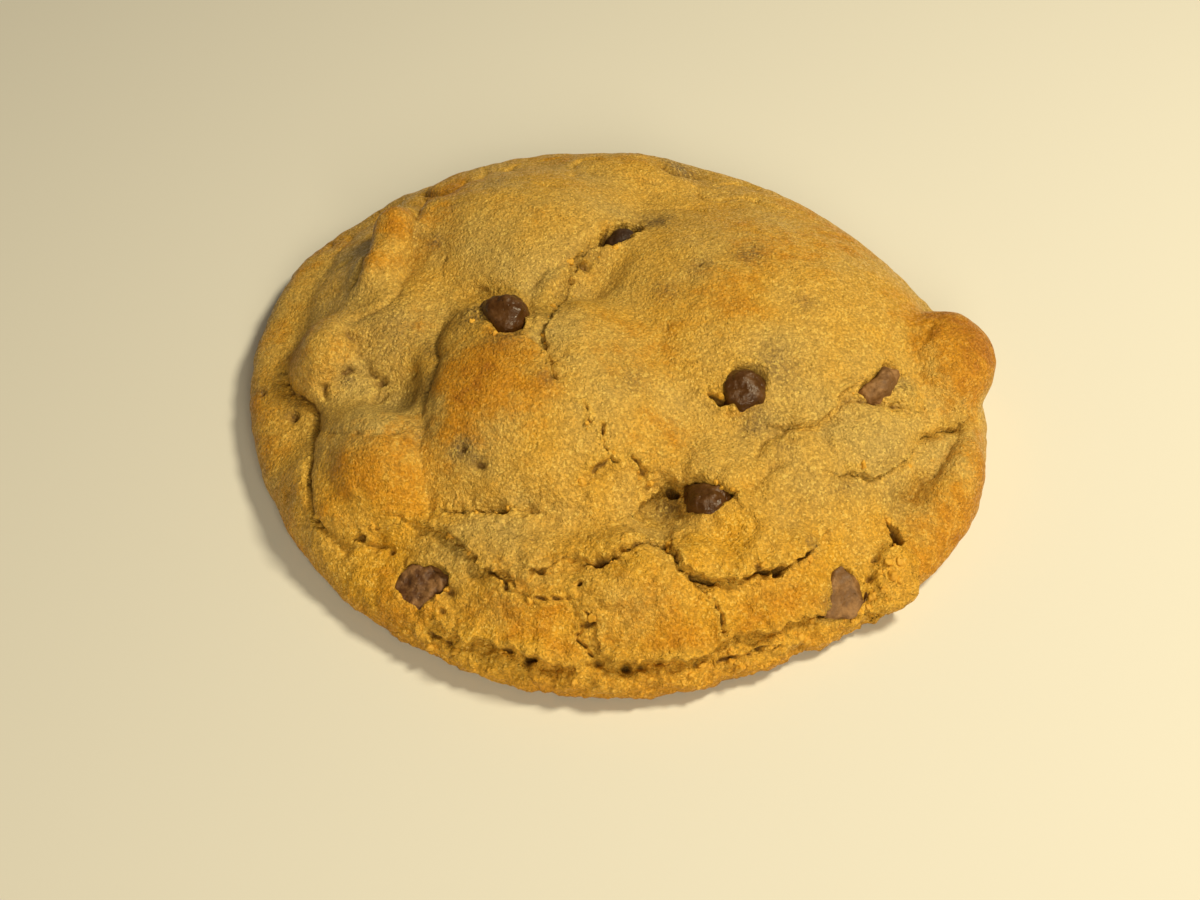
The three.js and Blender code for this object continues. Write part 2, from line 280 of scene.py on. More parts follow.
# %% Gaps and cracks
CRACKS = {  # picture points, depth, width
    "gap over the middle plate": ([(588, 562), (612, 556), (628, 548), (644, 538)], 2.2, 1.4),
    "gap, right part": ([(644, 538), (655, 537), (673, 538)], 2.4, 1.6),
    "under the right plate": ([(676, 552), (681, 568), (699, 582), (717, 584)], 1.5, 0.7),
    "under the right plate, far": ([(717, 584), (755, 575), (776, 568)], 1.2, 0.5),
    "hole in the right plate": ([(773, 567), (780, 570), (787, 566)], 2.0, 1.4),
    "right plate end": ([(800, 560), (814, 550), (822, 545)], 1.2, 0.8),
    "between the plates": ([(584, 577), (570, 591), (572, 603), (584, 612), (591, 619)], 1.2, 0.6),
    "between the plates, low": ([(591, 619), (584, 628), (579, 640), (595, 656)], 1.2, 0.6),
    "right split of the middle plate": ([(704, 589), (718, 610), (723, 633)], 1.2, 0.5),
    "left plate crack": ([(487, 568), (514, 591), (533, 598), (565, 598)], 1.0, 0.5),
    "middle crack": ([(604, 426), (606, 442), (613, 455), (620, 466)], 1.5, 0.8),
    "middle crack, left": ([(613, 457), (597, 468), (578, 480)], 1.1, 0.6),
    "middle crack, right": ([(630, 458), (638, 466), (646, 479)], 1.1, 0.7),
    "fine line over the middle": ([(582, 402), (588, 411), (591, 426)], 0.8, 0.5),
    "torn sheet crack": ([(429, 513), (460, 512), (479, 511), (528, 515)], 0.7, 0.35),
    "left rim crack": ([(305, 455), (304, 484)], 0.9, 0.5),
    "left rim hole": ([(312, 519), (322, 527)], 1.2, 0.8),
    "low left hole": ([(357, 541), (368, 536)], 1.2, 0.8),
    "low left line": ([(372, 527), (403, 523)], 0.5, 0.3),
    "low left mark": ([(345, 604), (358, 610)], 0.6, 0.5),
    "slot in the right rim": ([(893, 524), (896, 540), (890, 552)], 2.2, 1.5),
    "crescent by the centre chip": ([(707, 391), (716, 400), (731, 406)], 1.6, 0.9),
    "slit over the hidden chip": ([(603, 243), (616, 230), (628, 225), (641, 221)], 4.2, 3.2),
    "hole by the folded lobe": ([(671, 484), (677, 495)], 2.0, 1.2),
    "mark right of the fold": ([(733, 498), (744, 495)], 1.0, 0.5),
    "right slope mark": ([(848, 470), (862, 469)], 0.5, 0.4),
    "rim pit, left": ([(500, 648), (512, 654)], 1.0, 0.7),
    "rim pit, second": ([(526, 657), (533, 664)], 1.6, 1.3),
    "rim pit, right": ([(624, 668), (629, 670)], 1.3, 1.0),
    "rim pit, far": ([(652, 665), (668, 668)], 0.9, 0.5),
    "rim line, right": ([(720, 662), (760, 650), (800, 640)], 0.9, 0.5),
    "rim layer, right": ([(817, 652), (850, 634), (884, 606)], 1.2, 0.9),
    "rim layer, left": ([(420, 632), (450, 645), (480, 656)], 0.9, 0.5),
}

# %% [markdown]
# A stroke is laid on the skin by looking through the camera at many points along it.

# %% Strokes laid on the skin
STROKE_STEP = 9.0  # pixels between looks through the camera
skin = BVHTree.FromObject(dough, bpy.context.evaluated_depsgraph_get())


def stroke(pixels):
    """The points on the skin that a line drawn in the picture passes over."""
    line = []
    for (ax, ay), (bx, by) in zip(pixels, pixels[1:]):
        steps = max(1, round(math.hypot(bx - ax, by - ay) / STROKE_STEP))
        line += [spot_on(skin, ax + (bx - ax) * k / steps, ay + (by - ay) * k / steps) for k in range(steps)]
    line.append(spot_on(skin, *pixels[-1]))
    return np.array(line, dtype=np.float32)


folded = [stroke(pixels) for pixels, *_ in FOLDS.values()]
broken = [stroke(pixels) for pixels, *_ in (*LEDGES.values(), *CRACKS.values())]
print(len(folded), "folds,", len(broken), "broken edges")

# %% [markdown]
# Broken edges need a finer net than smooth lobes do. The squares near them, and all those of the
# crumbly front rim, are picked and cut in four.

# %% A finer net where the crust is broken
FINE_REACH = 1.7 * MM
FOLD_REACH = 1.1 * MM
RIM_REACH = 4.0 * MM
FRONT_RIM = [
    (340, 600), (400, 642), (470, 668), (540, 685), (610, 690), (680, 684), (760, 662), (820, 645),
    (880, 600),
]


def near_points(piece, places, reach):
    """For each face, whether it lies within reach of one of the places."""
    tree = KDTree(len(places))
    for number, place in enumerate(places):
        tree.insert(Vector(place) * MM, number)
    tree.balance()
    return [tree.find(face.center)[2] < reach for face in piece.data.polygons]


close_to_fold = near_points(dough, np.concatenate(folded), FOLD_REACH)
close_to_break = near_points(dough, np.concatenate(broken), FINE_REACH)
close_to_rim = near_points(dough, stroke(FRONT_RIM), RIM_REACH)
pick_faces(dough, [any(three) for three in zip(close_to_fold, close_to_break, close_to_rim)])
bpy.ops.mesh.subdivide(number_cuts=1)
bpy.ops.object.mode_set(mode="OBJECT")
print("faces with the fine parts:", len(dough.data.polygons))

# %% [markdown]
# ## The dough, part three: tools for shaping it
#
# For every point of the net we measure how far it is from a stroke, and a profile says how deep to
# press at that distance. All the strokes add up in one list of depths, and at the end the skin
# moves once, along its own outward direction. The distances are measured from slightly shaken
# positions, so no edge is ruler straight.

# %% Points of a piece as rows of numbers
def vectors(piece, field):
    """The place ("co") or the outward direction ("normal") of each point of a piece, one per row."""
    rows = np.empty(len(piece.data.vertices) * 3, dtype=np.float32)
    piece.data.vertices.foreach_get(field, rows)
    return rows.reshape(-1, 3)


def move_points(piece, points, unit=MM):
    """Puts the points of a piece at new places, given in millimetres unless a unit is named."""
    piece.data.vertices.foreach_set("co", (points * unit).astype(np.float32).ravel())
    piece.data.update()


# %% The net of the dough, in millimetres, and smooth random numbers for it
rest = vectors(dough, "co") / MM
outward = vectors(dough, "normal")
rest_list = [Vector(p) for p in rest.tolist()]


def shaking(size, seed):
    """A smooth random push for each point of the net. size is the length of one wave in mm."""
    shift = Vector((seed * 17.3, seed * 5.1, seed * 11.7))
    return np.array([noise.noise_vector(p / size + shift) for p in rest_list], dtype=np.float32)


def ripples(size, seed):
    """A smooth random number from about -1 to 1 for each point of the net."""
    shift = Vector((seed * 7.9, seed * 13.1, seed * 3.7))
    return np.array([noise.noise(p / size + shift) for p in rest_list], dtype=np.float32)


SHAKE_WIDE = shaking(5.0, 1)
SHAKE_FINE = shaking(1.2, 2)
UNEVEN = ripples(2.0, 9)
print("points to shape:", len(rest))


# %% How far each point is from a stroke
def measure(line, wide=0.5, fine=0.3):
    """For each point of the net: distance to a line, share of the way along it, and its side."""
    points = rest + SHAKE_WIDE * wide + SHAKE_FINE * fine
    best = np.full(len(points), 1e6, dtype=np.float32)
    share = np.zeros(len(points), dtype=np.float32)
    side = np.ones(len(points), dtype=np.float32)
    for k in range(len(line) - 1):
        a, ab = line[k], line[k + 1] - line[k]
        t = np.clip(((points - a) @ ab) / max(float(ab @ ab), 1e-6), 0, 1)
        away = points - (a + t[:, None] * ab)
        distance = np.sqrt((away**2).sum(1))
        closer = distance < best
        best[closer] = distance[closer]
        share[closer] = ((k + t) / (len(line) - 1))[closer]
        side[closer] = np.sign(ab[0] * away[:, 1] - ab[1] * away[:, 0])[closer]
    return best, share, side


def bell(distance, width):
    """1 at no distance, about a third at the width, and next to nothing at twice the width."""
    return np.exp(-((distance / width) ** 2))


def fade_ends(share):
    """1 along most of a stroke and 0 at both its ends."""
    return np.clip(4.0 * np.minimum(share, 1 - share) + 0.15, 0, 1) ** 0.5


# %% [markdown]
# `lift` holds how far each point goes out, `torn` remembers where the crust is broken, `hollow`
# holds the painted shade in creases, cracks, small pits and under the edges of plates, and `lean`
# lets the edge of a plate hang over. A **dab** is a round push, out for a bump and in for a pit.
# All lengths here are in millimetres.

# %% Folds and cracks
CREASE_WIDTH = 0.42
WIDE_FOLD = 4.0  # from this width on a fold has hardly any crease
CRACK_WALL = 0.35

lift = np.zeros(len(rest), dtype=np.float32)
torn = np.zeros(len(rest), dtype=np.float32)
hollow = np.zeros(len(rest), dtype=np.float32)
lean = np.zeros((len(rest), 3), dtype=np.float32)


def fold(pixels, depth, width):
    """A soft valley with a thin crease along its bottom. In a wide valley the crease is fainter."""
    distance, share, _ = measure(stroke(pixels), wide=0.8, fine=0.3)
    valley = np.clip(1 - distance / width, 0, 1) ** 2
    sharpness = np.clip((WIDE_FOLD - width) / 1.5, 0.12, 1) * min(1, depth / 1.2)
    crease = sharpness * bell(distance, CREASE_WIDTH)
    lift[:] -= (0.6 * depth * valley + 0.7 * crease) * fade_ends(share)
    # painted shade along the bottom of the crease
    hollow[:] = np.maximum(hollow, 0.85 * crease * fade_ends(share))


def crack(pixels, depth, width):
    """A narrow gap with steep walls and painted shade inside, which is wider here and thinner there."""
    distance, share, _ = measure(stroke(pixels), wide=0.6, fine=0.55)
    half = 0.5 * width * fade_ends(share) * np.clip(1 + 1.1 * UNEVEN, 0.25, 1.7)
    inside = np.clip((half - distance) / CRACK_WALL + 0.5, 0, 1)
    lift[:] -= depth * inside
    # painted shade inside the crack
    hollow[:] = np.maximum(hollow, np.clip(1.3 * inside - 0.2, 0, 1) * min(1, 0.4 + depth / 1.5))
    torn[:] = np.maximum(torn, np.clip(1.3 - distance / (half + 0.9), 0, 1))


# %% Ledges and dabs
UPPER_REACH, LOWER_REACH = 4.5, 2.2  # how far a ledge is felt on its high and on its low side
STEP_WIDTH, EDGE_WIDTH, SHADOW_WIDTH, TORN_WIDTH = 0.25, 0.8, 0.55, 1.8
LEAN = 0.45  # how far the edge hangs over


def ledge(pixels, rise, drop):
    """A broken edge: one side stands up and leans out, the other drops and lies in its shadow, which is
    painted on as well.
    """
    line = stroke(pixels)
    distance, share, side = measure(line, wide=0.8, fine=0.6)
    ends = fade_ends(share)
    upper = np.clip(side * distance / STEP_WIDTH + 0.5, 0, 1)
    lift[:] += ends * rise * upper * bell(distance, UPPER_REACH)
    lift[:] -= ends * drop * (1 - upper) * bell(distance, LOWER_REACH)
    edge = bell(distance, EDGE_WIDTH) * upper * ends
    along = line[-1] - line[0]
    sideways = np.array([along[1], -along[0], 0]) / max(float(np.hypot(*along[:2])), 1e-6)
    lean[:] += LEAN * edge[:, None] * sideways
    # painted shadow on the low side of the edge
    dark = 0.65 * ends * (1 - upper) * np.clip(0.7 + 1.3 * UNEVEN, 0, 1)
    hollow[:] = np.maximum(hollow, dark * bell(distance, SHADOW_WIDTH))
    rough = ends * np.clip(1.2 - distance / TORN_WIDTH, 0, 1) * np.where(upper > 0.5, 0.55, 1)
    torn[:] = np.maximum(torn, rough)


def dab(spot, size, height, sharp=1.0):
    """A round bump, or a pit where the height is less than 0. A small pit gets painted shade inside."""
    centre = spot_on(skin, *spot)
    points = rest + SHAKE_FINE * min(0.35, 0.35 * size) + SHAKE_WIDE * min(1.0, 0.15 * size)
    near = np.exp(-((np.sqrt(((points - np.array(centre)) ** 2).sum(1)) / size) ** (2 * sharp)))
    lift[:] += height * near
    # painted shade inside a small pit
    if height < 0 and size < 1.5:
        hollow[:] = np.maximum(hollow, 0.8 * near)


# %% [markdown]
# ## The dough, part four: lumps, folds, ledges and cracks
#
# The biggest shapes go first. The solid already has the lobes. Here a few bumps and hollows are
# corrected against the photo, and then all the strokes are pressed in.

# %% Lumps and hollows
LUMPS = {  # picture point, size in mm, height in mm
    "peak, and the dip at its foot": [(480, 392, 9, 1.2), (398, 398, 5, -1.6)],
    "shoulder": [(388, 335, 6, 0.7)],
    "left bumps": [(318, 352, 4.6, 1.5), (365, 465, 7, 1.3)],
    "left ridge, and behind it": [(393, 222, 3.6, 1.9), (376, 262, 3.2, 1.0), (365, 222, 5, -0.9)],
    "left edge of the back cap": [(455, 205, 7, 1.1)],
    "valley across the top": [(535, 300, 4, -0.9), (628, 214, 4, -0.9)],
    "trough": [(520, 535, 5, -1.1), (470, 545, 5, -0.7)],
    "hollow under the big lobe": [(660, 506, 3.6, -2.4)],
    "left plate": [(530, 620, 6, 0.7)],
    "middle plate": [(655, 622, 7, 0.8), (640, 575, 4.5, 0.6)],
    "outer plate": [(768, 598, 5, 0.6)],
    "right plate": [(745, 535, 6, 0.8)],
    "right slope and rim": [(850, 470, 7, -0.6), (955, 500, 6, 1.3)],
    "back notch": [(700, 172, 3, -0.8)],
    "lobe under the knob": [(945, 392, 4, 0.9)],
    "bumps on the right slope": [(880, 428, 5.5, 1.3), (803, 443, 4, 0.6)],
    "right rim, high and low": [(970, 465, 4.5, 1.3), (925, 552, 5, 0.7)],
    "pale crumb by the right chip": [(908, 400, 2.6, 1.0)],
    "edge over the hidden chip": [(705, 462, 4, 0.9)],
    "flap on the upper left chip": [(471, 318, 3.2, 1.1)],
    "crumb ridge in the valley": [(556, 284, 2.2, 0.9), (543, 316, 2.0, 0.9)],
    "torn valley": [(585, 262, 3.0, -0.8)],
    "chunk at the right rim": [(889, 568, 2.8, 1.9), (884, 588, 2.0, 0.9)],
    "pale crumb in the hollow, and below it": [(650, 514, 2.2, 0.7), (657, 532, 2.6, -1.4)],
}
for lumps in LUMPS.values():
    for px, py, size, height in lumps:
        dab((px, py), size, height)

# %% [markdown]
# In some places the crust tore open while the cookie rose, and the crumb inside shows. These bands
# only mark the skin as torn. The crumble, further on, makes it rough there.

# %% Rough crumb without a crust
CRUMB_BANDS = {
    "valley across the top": [(618, 232), (598, 245), (580, 264), (562, 288), (540, 316), (530, 334)],
    "beside the upper left chip": [(468, 305), (474, 320), (484, 334)],
    "under the right chip": [(880, 404), (895, 408), (908, 402), (920, 410)],
    "in the hollow under the big lobe": [(640, 522), (655, 510)],
    "chunk at the right rim": [(896, 560), (886, 572), (892, 586), (874, 600)],
}
for pixels in CRUMB_BANDS.values():
    distance, share, _ = measure(stroke(pixels), wide=1.2, fine=0.4)
    torn = np.maximum(torn, 0.85 * np.clip(1.6 - distance / 2.0, 0, 1) * fade_ends(share))

# %% Every fold, ledge and crack
for pixels, depth, width in FOLDS.values():
    fold(pixels, depth, width)
for pixels, rise, drop in LEDGES.values():
    ledge(pixels, rise, drop)
for pixels, depth, width in CRACKS.values():
    crack(pixels, depth, width)
print("deepest place:", round(float(lift.min()), 2), "mm")

# %% [markdown]
# Steam leaves pits in the crust. They are small dabs inwards, with steeper walls than a hollow has.

# %% Pits and small holes
PITS = {  # size in mm, picture points
    "pinholes": (0.35, [(445, 259), (533, 538), (730, 178), (699, 264), (667, 327), (490, 569), (806, 298)]),
    "small pits": (
        0.5,
        [(283, 380), (262, 393), (391, 553), (442, 611), (541, 571), (641, 668), (788, 654), (697, 666)],
    ),
    "pits": (0.6, [(464, 450), (553, 376), (803, 648), (868, 580), (755, 569), (872, 563), (598, 663)]),
    "holes": (0.8, [(292, 417), (588, 266), (379, 378), (479, 466), (448, 594), (528, 664), (627, 671)]),
}
for size, spots in PITS.values():
    for spot in spots:
        dab(spot, size, -0.6 - 0.5 * size, sharp=1.4)
print("torn share of the skin:", round(float((torn > 0.3).mean()), 3))

# %% [markdown]
# ## The dough, part five: dough over and round the chips
#
# Each chip shows only in part: a flap of dough lies over the upper left chip, and the big lobe
# hangs over the one below it. What shows of each chip is given by its outline in the picture.
# Inside the outline the dough is pressed in, out of the chip's way, and round it the dough stands
# up a little and covers the rest of the chip.

# %% What shows of each chip
CHIP_OUTLINES = {
    "chip_upper_left": [
        (477, 299), (487, 291), (503, 288), (518, 293), (526, 306), (524, 322), (521, 335), (511, 340),
        (501, 336), (495, 325), (492, 313), (483, 307),
    ],
    "chip_centre": [
        (733, 362), (752, 359), (765, 366), (767, 383), (762, 399), (745, 407), (729, 402), (725, 384),
    ],
    "chip_under_fold": [(684, 483), (706, 481), (724, 487), (734, 497), (722, 509), (704, 511), (690, 503)],
    "chip_front_left": [
        (401, 572), (412, 564), (424, 567), (436, 563), (449, 575), (444, 590), (432, 597), (420, 609),
        (403, 600), (395, 588),
    ],
    "chip_front_right": [
        (834, 572), (841, 565), (852, 573), (858, 584), (861, 597), (842, 610), (817, 622), (828, 607),
        (831, 591),
    ],
    "chip_right": [
        (855, 393), (879, 372), (887, 362), (896, 366), (903, 375), (893, 381), (880, 394), (868, 397),
    ],
    "chip_in_hollow": [(604, 243), (614, 228), (628, 221), (642, 220), (641, 229), (628, 236), (615, 244)],
}
FLAPS = {"chip_upper_left": 0.3, "chip_under_fold": 0.5}  # mm that the dough stands up round them

# %% Where a point is seen, and how far it is from an outline
PIXELS_PER_MM = 7.7


def in_picture(points):
    """Where points of the cookie, in mm, are seen in the photo."""
    turned = np.array(camera.matrix_world.inverted())
    seen = (points * MM) @ turned[:3, :3].T + turned[:3, 3]
    across = PHOTO_WIDTH / 2 - SIGHT_UNIT * seen[:, 0] / seen[:, 2]
    down = PHOTO_HEIGHT / 2 + SIGHT_UNIT * seen[:, 1] / seen[:, 2]
    return np.stack([across, down], axis=1)


def past_outline(points, outline):
    """How many mm each point is outside an outline drawn in the picture. Less than 0 is inside."""
    seen = in_picture(points)
    corners = np.array(outline, dtype=float)
    distance = np.full(len(seen), 1e6)
    inside = np.zeros(len(seen), dtype=bool)
    for a, b in zip(corners, np.roll(corners, -1, axis=0)):
        t = np.clip(((seen - a) @ (b - a)) / ((b - a) @ (b - a)), 0, 1)
        distance = np.minimum(distance, np.hypot(*(seen - a - t[:, None] * (b - a)).T))
        crosses = (a[1] > seen[:, 1]) != (b[1] > seen[:, 1])
        where = a[0] + (seen[:, 1] - a[1]) * (b[0] - a[0]) / (b[1] - a[1] + 1e-9)
        inside ^= crosses & (seen[:, 0] < where)
    return np.where(inside, -distance, distance) / PIXELS_PER_MM


# %% Dough pressed in under the chips
CHIP_REACH = 9.0  # mm round the middle of a chip, which is all the dough that it can touch
PRESS_DEPTH = 1.5  # mm

for name, outline in CHIP_OUTLINES.items():
    middle = np.array(spot_on(skin, *np.mean(outline, axis=0)))
    close = np.flatnonzero((((rest - middle) ** 2).sum(1) < CHIP_REACH**2) & (outward[:, 2] > -0.2))
    past = past_outline(rest[close] + SHAKE_FINE[close] * 0.35, outline)
    tree = chip_trees[CHIP_NODES.index(name)]
    gap = np.array([tree.find_nearest(rest_list[k] * MM)[3] for k in close]) / MM
    lift[close] -= PRESS_DEPTH * np.clip(0.2 - past / 0.5, 0, 1) * np.clip(1.8 - gap / 0.8, 0, 1)
    lift[close] += FLAPS.get(name, 0.1) * bell(past - 0.8, 1.1) * (past > -0.1)
    torn[close] = np.maximum(torn[close], np.clip(0.9 - np.abs(past) / 0.9, 0, 1))
    print(f"{name:17} {int((past < 0).sum())} points under it")

# %% [markdown]
# ## The dough, part six: crumb
#
# Up close no part of a cookie is smooth. Slow waves make the skin uneven, quicker ones make it
# lumpy, and where the crust is torn it is rough and crumbly. The lower rim at the front is one long
# broken edge, so it counts as torn too. A crumb is a small round cell: it stands up in its middle
# and has a seam all round.

# %% Unevenness and crumble
RIM_WIDTH = 4.5
FRONT_FROM, FRONT_FADE = 20, 18  # mm before the middle where the front crust starts and how it fades in
BACK_FROM, BACK_FADE = 18, 14  # mm behind the middle where the side that the photo hides starts
SLOW, MIDDLE, QUICK = 9.0, 3.4, 1.5  # mm, the length of one wave

rough_rim = np.clip(1.3 - measure(stroke(FRONT_RIM), wide=1.5, fine=0.3)[0] / RIM_WIDTH, 0, 1)
near_front = np.clip((-rest[:, 1] - FRONT_FROM) / FRONT_FADE, 0, 1)
top_side = np.clip(outward[:, 2] * 3 + 0.6, 0, 1)


def crumbs_of(size, where):
    """Round cells: 1 in the middle of each, 0 in the seams. Worked out only where it is wanted."""
    height = np.zeros(len(rest), dtype=np.float32)
    for k in np.flatnonzero(where):
        height[k] = 1 - 1.5 * noise.voronoi(rest_list[k] / size)[0][0]
    return height


waves_slow = ripples(SLOW, 3)
waves_mid = ripples(MIDDLE, 4)
waves_quick = ripples(QUICK, 5)
grounded = np.clip(rest[:, 2] / 1.2, 0, 1)
crumbly = np.maximum(torn, 0.8 * rough_rim)
crumbs_big = crumbs_of(1.5, crumbly > 0.05)
crumbs_small = crumbs_of(0.75, crumbly > 0.05)

unseen = np.clip((rest[:, 1] - BACK_FROM) / BACK_FADE, 0, 1)
wrinkles = bell(ripples(8.0, 12), 0.05) * np.clip(ripples(6.0, 13) * 3, 0, 1)
lift -= grounded * wrinkles * (0.15 + 0.55 * unseen)
lift += grounded * (0.38 * waves_slow + 0.2 * waves_mid + 0.11 * waves_quick)
lift += grounded * crumbly * (0.46 * crumbs_big + 0.26 * crumbs_small + 0.2 * waves_quick)
lift += grounded * rough_rim * 0.25 * waves_mid
crust = crumbs_of(1.25, near_front * top_side > 0.1)
lift += grounded * near_front * top_side * (0.32 * crust + 0.16 * waves_quick + 0.32 * waves_mid)

# %% [markdown]
# Now all the pushes are added up, and the skin moves along its outward direction. The sum is limited
# so that no place flies off, and nothing goes under the floor.

# %% Moving the skin, once
MOST_OUT, MOST_IN = 2.2, -4.4  # mm

shaped = rest + outward * np.clip(lift, MOST_IN, MOST_OUT)[:, None] + lean
shaped[:, 2] = np.maximum(shaped[:, 2], 0)
move_points(dough, shaped)
apply_modifier(dough, "SMOOTH", factor=0.2, iterations=1)


def triangles_of(piece):
    """How many triangles the faces of a piece make."""
    return sum(len(face.vertices) - 2 for face in piece.data.polygons)


print("triangles:", triangles_of(dough))

# %% [markdown]
# ## The dough, part seven: where it is toasted
#
# Colour follows the oven. High lumps and thin edges brown first, low folds stay pale, and torn
# crumb is paler still. Round hidden chips the dough turns a greyish brown, and the same greyish
# brown is painted as shade on the peak cliff, the shoulder and some low slopes. These maps are
# painted as dabs at picture points, like the shape, and stored on the mesh as attributes. The
# material reads them by name.

# %% Painting a map on the skin
def painted(groups, shake=1.0):
    """Soft round spots on the skin, the strongest one counting at each point."""
    points = rest + SHAKE_WIDE * 2.2 * shake + SHAKE_FINE * 0.5
    shade = np.zeros(len(rest), dtype=np.float32)
    for px, py, size, strength in (spot for spots in groups.values() for spot in spots):
        away = ((points - np.array(spot_on(skin, px, py))) ** 2).sum(1)
        shade = np.maximum(shade, strength * np.exp(-away / size**2))
    return shade


# %% Where the crust is toasted
TOASTED_SPOTS = {  # picture point, size in mm, strength
    "peak": [(480, 385, 9.5, 1.12), (455, 425, 6, 0.95), (540, 400, 6, 0.35)],
    "left bump": [(300, 345, 5, 0.65), (330, 360, 5, 0.45)],
    "lower left bump": [(376, 456, 8, 0.75), (348, 480, 7, 0.5), (330, 500, 6, 0.4)],
    "left ridge": [(393, 225, 5, 0.95), (375, 255, 4, 0.7)],
    "back cap, left edge": [(445, 195, 6, 1.0), (430, 215, 4, 0.7), (430, 250, 6, 0.5), (425, 320, 5, 0.5)],
    "back cap, far edge": [(560, 155, 8, 0.5), (620, 152, 6, 0.5)],
    "big lobe": [(640, 345, 9, 0.5), (690, 335, 7, 0.3), (725, 290, 9, 0.6), (655, 430, 7, 0.35)],
    "big lobe, back": [(785, 195, 9, 0.7), (850, 245, 9, 0.6)],
    "knob": [(985, 335, 8, 1.5), (955, 325, 8, 1.35), (970, 362, 7, 1.25), (945, 390, 5, 0.3)],
    "right rim": [(980, 440, 5, 0.6), (975, 480, 7, 0.85), (955, 530, 8, 0.9), (925, 565, 7, 0.7)],
    "right rim, crumbly end": [(890, 580, 4, 0.75)],
    "left plate": [(530, 625, 8, 0.62), (490, 610, 6, 0.4)],
    "middle plate": [(645, 640, 9, 0.68), (590, 635, 5, 0.5), (700, 625, 6, 0.4)],
    "outer plate": [(780, 612, 7, 0.75), (760, 590, 6, 0.4)],
    "front rim, left": [(400, 630, 8, 0.8), (480, 675, 8, 0.8), (560, 690, 8, 0.85)],
    "front rim, right": [(640, 695, 8, 0.9), (720, 680, 8, 0.8), (790, 655, 7, 0.7)],
    "left rim": [(255, 400, 6, 0.65), (262, 450, 6, 0.6), (285, 520, 7, 0.6), (330, 585, 8, 0.75)],
    "left rim, back": [(270, 330, 6, 0.6), (310, 265, 7, 0.5)],
}
toasted = painted(TOASTED_SPOTS)

# %% Where the dough stayed pale, with a painted sheen on the back cap and the right slope
PALE_SPOTS = {
    "shoulder": [(395, 335, 8, 0.3)],
    "foot of the peak": [(380, 410, 7, 0.9), (350, 385, 5, 0.6)],
    # paler dough, and partly a painted sheen round the first spot
    "back cap": [(500, 235, 10, 0.5), (560, 275, 6, 0.7), (600, 200, 8, 0.4)],
    "valley across the top": [(545, 330, 5, 0.8), (590, 360, 6, 0.3)],
    "behind the left ridge": [(345, 285, 8, 0.5), (330, 250, 5, 0.4)],
    "big lobe, right": [(700, 440, 8, 0.4), (800, 400, 9, 0.5)],
    # paler dough, and partly a painted sheen round the first spot
    "right slope": [(850, 430, 10, 0.7), (905, 405, 5, 0.8), (945, 450, 5, 0.6)],
    "right slope, low": [(880, 470, 8, 0.5), (820, 480, 8, 0.45), (900, 500, 6, 0.6)],
    "big lobe, front": [(650, 520, 6, 0.9), (560, 540, 7, 0.4), (640, 585, 5, 0.4)],
    "torn sheets": [(520, 540, 9, 0.8), (460, 545, 8, 0.7), (470, 490, 8, 0.5)],
    "right plate": [(780, 520, 8, 0.3)],
}
pale = painted(PALE_SPOTS)

# %% Where chocolate has stained the dough, and where greyish brown shade is painted
STAINS_AND_SHADE = {
    "round the upper left chip": [(480, 320, 3.0, 0.8), (508, 338, 3.0, 0.5)],
    # painted shade: the shoulder lies in the shade of the back cap
    "shoulder": [(388, 335, 6.0, 0.4)],
    # painted shade along the foot of the peak cliff
    "peak cliff": [(431, 345, 2.6, 0.5), (425, 385, 2.4, 0.5), (419, 432, 2.2, 0.45), (405, 400, 3.0, 0.4)],
    "valley across the top": [(592, 252, 1.8, 0.5), (578, 262, 3.0, 0.3), (560, 285, 3.2, 0.3)],
    "valley, lower end": [(545, 312, 3.0, 0.3)],
    "right of the slit": [(656, 220, 2.6, 0.9)],
    "big lobe": [(750, 253, 2.4, 0.75), (700, 266, 1.8, 0.5), (806, 298, 1.6, 0.6), (667, 291, 2.6, 0.45)],
    "round the centre chip": [(777, 366, 3.2, 0.6), (757, 420, 2.6, 0.6), (635, 380, 2.2, 0.45)],
    "back cap": [(438, 246, 1.8, 0.8), (420, 232, 2.0, 0.3), (500, 182, 1.6, 0.4)],
    "back notch": [(683, 166, 3.2, 0.9)],
    "left bump": [(345, 378, 1.4, 0.8)],
    "left rim": [(288, 416, 1.4, 0.7), (262, 393, 0.9, 0.8)],
    "peak": [(466, 452, 1.9, 0.9), (477, 466, 1.4, 0.6), (548, 376, 1.4, 0.6)],
    # the wide faint spot is painted shade on the low slope
    "right slope": [(848, 487, 2.0, 0.4), (785, 450, 1.6, 0.4), (890, 472, 5.0, 0.22)],
    # the wide faint spot is painted shade
    "right plate": [(800, 500, 5.0, 0.15), (812, 548, 1.5, 0.7)],
    # painted shadow under the overhanging big lobe
    "hollow under the big lobe": [(673, 502, 2.0, 0.6)],
    # painted shade in the low trough
    "torn sheets": [(490, 545, 6.0, 0.12)],
    "by the front right chip": [(832, 608, 2.0, 0.9)],
    "by the right chip": [(900, 392, 2.0, 0.5)],
}
stain_and_shade = painted(STAINS_AND_SHADE, shake=0.5)

# %% [markdown]
# More maps follow from the shape. The whole cookie is browner low down at its rim and on its
# underside, where it lay on the hot tray, and low places get a little painted shade. The side that the
# photo doesn't show gets soft toasted patches from slow waves instead of dabs.

# %% Maps that follow the shape
patches = np.clip(ripples(16.0, 8) * 1.6 + 0.35, 0, 1)
toasted = np.maximum(toasted, unseen * patches * 0.75)
rim_low = np.clip(1 - rest[:, 2] / 4.5, 0, 1) * np.clip(1 - np.abs(outward[:, 2]) * 0.6, 0, 1)
under = np.clip(-outward[:, 2] * 2 - 0.3, 0, 1) * np.clip(1.6 - rest[:, 2], 0, 1)
high_spots = np.clip(lift - 0.35 * waves_slow, -0.5, 0.5) * 0.5

